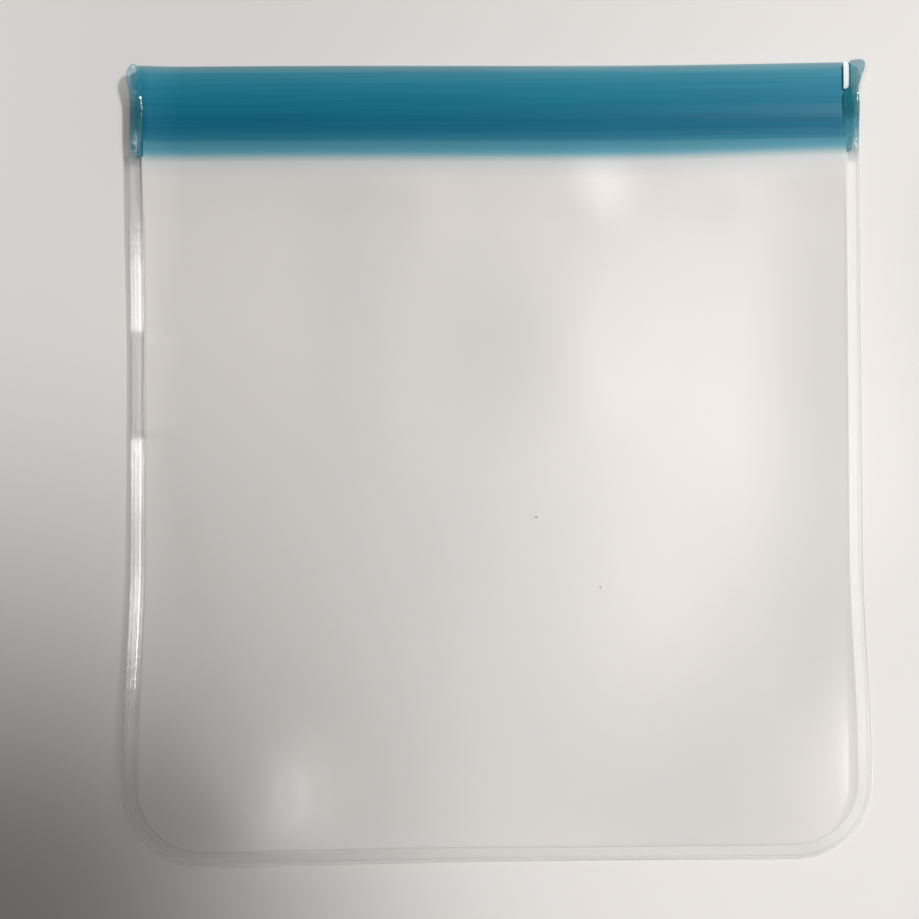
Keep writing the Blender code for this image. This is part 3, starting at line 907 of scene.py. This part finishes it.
def set_shine(shader, shine):
    shader.inputs["IOR"].default_value, shader.inputs["Specular IOR Level"].default_value = shine


def set_film_gloss(shader):
    shader.inputs["Alpha"].default_value = FILM_DENSITY
    shader.inputs["Roughness"].default_value = FILM_ROUGHNESS
    set_shine(shader, FILM_SHINE)


def back_film_material():
    """Frosted film, of an even milkiness, as it is seen only through the front film."""
    material, tree, shader = new_material("frosted_back_film")
    cloudy = noise_value(tree, FILM_CLOUD_SCALE, detail=0)
    stops = tuple(enumerate(BACK_FILM_TINTS))
    tree.links.new(ramp_over(tree, cloudy, 0, 1, stops), shader.inputs["Base Color"])
    set_film_gloss(shader)
    return material


def film_material():
    """Frosted film: milky, half see-through and satin, with the zip's teal shining through above, and
    painted light and shade in soft patches.
    """
    material, tree, shader = new_material("frosted_film")
    level = straight_y(tree, narrows=True)
    colour = bands_over(tree, level, FILM_BANDS)
    # Painted light and shade: soft patches lighter or darker than the rest of the film.
    painted_light_and_shade = FILM_BASE_SHADE - 1
    for x, y, half_x, half_y, amount in FILM_LIGHT_AND_SHADE_PATCHES:
        painted_light_and_shade = add_values(tree, "ADD", painted_light_and_shade, soft_patch(tree, x, y, half_x, half_y, amount))
    painted_light_and_shade = add_values(tree, "MINIMUM", painted_light_and_shade, FILM_PALEST_SHADE - 1)
    painted_light_and_shade = add_values(tree, "MULTIPLY", painted_light_and_shade, map_range(tree, level, FILM_LIGHT_AND_SHADE_END, (1, 0)))
    shade = grey(tree, add_values(tree, "ADD", painted_light_and_shade, 1.0))
    tree.links.new(multiply_colours(tree, colour, shade), shader.inputs["Base Color"])
    set_film_gloss(shader)
    roughness = FILM_ROUGHNESS
    for patch in TAUT_FILM_PATCHES:
        roughness = add_values(tree, "ADD", soft_patch(tree, *patch), roughness)
    tree.links.new(roughness, shader.inputs["Roughness"])
    return material


def weld_material(name, density, tint, edge_density, steep_painted_shade):
    """Clear melted film: glossy, nearly see-through, darker and denser where it is steep, as painted
    shade, and painted paler along the right side, as painted light.
    """
    material, tree, shader = new_material(name)
    set_shine(shader, WELD_SHINE)
    steep = steepness(tree)
    # Painted shade: the steep faces are darker.
    stops = ((0, tint), (WELD_FLAT, tint), (WELD_STEEP, steep_painted_shade))
    colour = ramp_over(tree, steep, 0, 1, stops)
    # Painted light: the weld is paler along the right side.
    right_painted_light = map_range(tree, position_axis(tree, "X"), PAINTED_LIGHT_WELD_X, WELD_PAINTED_LIGHT)
    tree.links.new(multiply_colours(tree, colour, grey(tree, right_painted_light)), shader.inputs["Base Color"])
    stops = ((0, (density,) * 3), (WELD_FLAT, (density,) * 3), (WELD_STEEP, (edge_density,) * 3))
    tree.links.new(ramp_over(tree, steep, 0, 1, stops), shader.inputs["Alpha"])
    across = map_range(tree, position_axis(tree, "X"), SMOOTH_WELD_X, SIDE_WELD_ROUGHNESS)
    along = map_range(tree, position_axis(tree, "Y"), SMOOTH_WELD_Y, FOOT_WELD_ROUGHNESS)
    duller = add_values(tree, "MAXIMUM", across, along)
    uneven = map_value(tree, noise_value(tree, WELD_SHEEN_SCALE), WELD_SHEEN)
    tree.links.new(add_values(tree, "MULTIPLY", duller, uneven), shader.inputs["Roughness"])
    add_relief(tree, shader, noise_value(tree, WELD_RELIEF_SCALE), WELD_RELIEF)
    return material


def zip_material():
    """Teal strip: paler lip, dark double track, paler flange under the film's edge."""
    material, tree, shader = new_material("teal_zip")
    colour = bands_over(tree, straight_y(tree, narrows=False), STRIP_BANDS)
    streaks = noise_value(tree, 1, stretch=ZIP_STREAK_STRETCH)
    shade = grey(tree, map_value(tree, streaks, ZIP_STREAKS))
    tree.links.new(multiply_colours(tree, colour, shade), shader.inputs["Base Color"])
    sheen = map_value(tree, noise_value(tree, ZIP_ROUGHNESS_SCALE), ZIP_ROUGHNESS)
    tree.links.new(sheen, shader.inputs["Roughness"])
    set_shine(shader, ZIP_SHINE)
    add_relief(tree, shader, streaks, ZIP_RELIEF)
    return material


def end_material(name, bands, densities):
    """Melted teal plastic, very glossy, coloured along y from the rim to the ear's top."""
    material, tree, shader = new_material(name)
    colour = bands_over(tree, position_axis(tree, "Y"), bands)
    shade = grey(tree, map_value(tree, noise_value(tree, END_SHADE_SCALE), END_SHADES))
    tree.links.new(multiply_colours(tree, colour, shade), shader.inputs["Base Color"])
    stops = [(level, (density,) * 3) for level, density in densities]
    tree.links.new(bands_over(tree, position_axis(tree, "Y"), stops), shader.inputs["Alpha"])
    set_shine(shader, END_SHINE)
    sheen = map_value(tree, noise_value(tree, END_ROUGHNESS_SCALE), END_ROUGHNESS)
    tree.links.new(sheen, shader.inputs["Roughness"])
    add_relief(tree, shader, noise_value(tree, END_RELIEF_SCALE), END_RELIEF)
    return material


def speck_material():
    """Dark, dull dirt."""
    material, tree, shader = new_material("speck")
    mottled = noise_value(tree, SPECK_SCALE)
    stops = tuple(enumerate(SPECK_TINTS))
    tree.links.new(ramp_over(tree, mottled, 0, 1, stops), shader.inputs["Base Color"])
    shader.inputs["Roughness"].default_value = SPECK_ROUGHNESS
    return material


def floor_material():
    """Plain, pale and matt."""
    material, _, shader = new_material("pale_floor")
    shader.inputs["Base Color"].default_value = (*FLOOR_COLOUR, 1)
    shader.inputs["Roughness"].default_value = FLOOR_ROUGHNESS
    shader.inputs["Specular IOR Level"].default_value = FLOOR_GLOSS
    return material


def make_floor():
    bm = bmesh.new()
    bmesh.ops.create_grid(bm, x_segments=1, y_segments=1, size=FLOOR_HALF_WIDTH)
    mesh = bpy.data.meshes.new("floor")
    bm.to_mesh(mesh)
    bm.free()
    mesh.materials.append(floor_material())
    floor = bpy.data.objects.new("floor", mesh)
    bpy.context.scene.collection.objects.link(floor)


def make_lamp(name, place, target, half_angle, softness, watts, radius):
    """A spot lamp, aimed at a point."""
    light = bpy.data.lights.new(name, "SPOT")
    light.spot_size = 2 * half_angle
    light.spot_blend = softness
    light.energy = watts
    light.shadow_soft_size = radius
    lamp = bpy.data.objects.new(name, light)
    lamp.location = place
    lamp.rotation_euler = (Vector(target) - Vector(place)).to_track_quat("-Z", "Y").to_euler()
    bpy.context.scene.collection.objects.link(lamp)


def make_world():
    world = bpy.data.worlds.new("soft_room")
    world.use_nodes = True
    world.node_tree.nodes["Background"].inputs["Color"].default_value = (1.0, 1.0, 1.0, 1.0)
    world.node_tree.nodes["Background"].inputs["Strength"].default_value = WORLD_LIGHT
    bpy.context.scene.world = world


def make_camera():
    """Straight above, at the height and turn that show the bag as in the photograph."""
    data = bpy.data.cameras.new("camera")
    data.sensor_width = SENSOR_WIDTH
    half_view = FRAME_PIXELS * METRES_PER_PIXEL / 2
    data.lens = SENSOR_WIDTH / 2 * CAMERA_HEIGHT / half_view
    data.clip_start = 0.01
    camera = bpy.data.objects.new("camera", data)
    camera.location = (CAMERA_X, CAMERA_Y, CAMERA_HEIGHT)
    camera.rotation_euler = (0.0, 0.0, CAMERA_ROLL)
    bpy.context.scene.collection.objects.link(camera)
    bpy.context.scene.camera = camera


def build():
    """Makes every piece, the floor, the light and the camera."""
    film = film_material()
    make_film("front_film", front_film_height, -1, film, ["pouch_film"])
    make_film("back_film", back_film_height, 1, back_film_material(), [])
    rim = weld_material("clear_weld", WELD_DENSITY, WELD_TINT, WELD_EDGE_DENSITY, WELD_STEEP_PAINTED_SHADE)
    make_rim(rim)
    teal = zip_material()
    make_strip("front_strip", FRONT_FACE_Z, 1, True, teal, ["zip_strip_front"])
    make_strip("back_strip", BACK_FACE_Z, -1, False, teal, ["zip_strip_back"])
    left = end_material("crushed_left", LEFT_END_BANDS, LEFT_END_DENSITY)
    right = end_material("crushed_right", RIGHT_END_BANDS, RIGHT_END_DENSITY)
    make_melted("left_end", LEFT_END_SECTIONS, left, ["zip_end_left"], 1)
    make_melted("right_end", RIGHT_END_SECTIONS, right, ["zip_end_right"], 1)
    make_melted("right_flash", FLASH_SECTIONS, rim, [], CLEAR_LUMPINESS)
    web = weld_material("clear_web", WEB_DENSITY, WEB_PAINTED_HIGHLIGHT, WEB_EDGE_DENSITY, WEB_STEEP_PAINTED_SHADE)
    make_melted("right_web", WEB_SECTIONS, web, [], CLEAR_LUMPINESS)
    make_specks(speck_material())
    make_floor()
    for name, settings in LAMPS.items():
        make_lamp(name, *settings)
    make_world()
    make_camera()
    bpy.context.scene.view_settings.view_transform = "Standard"


build()
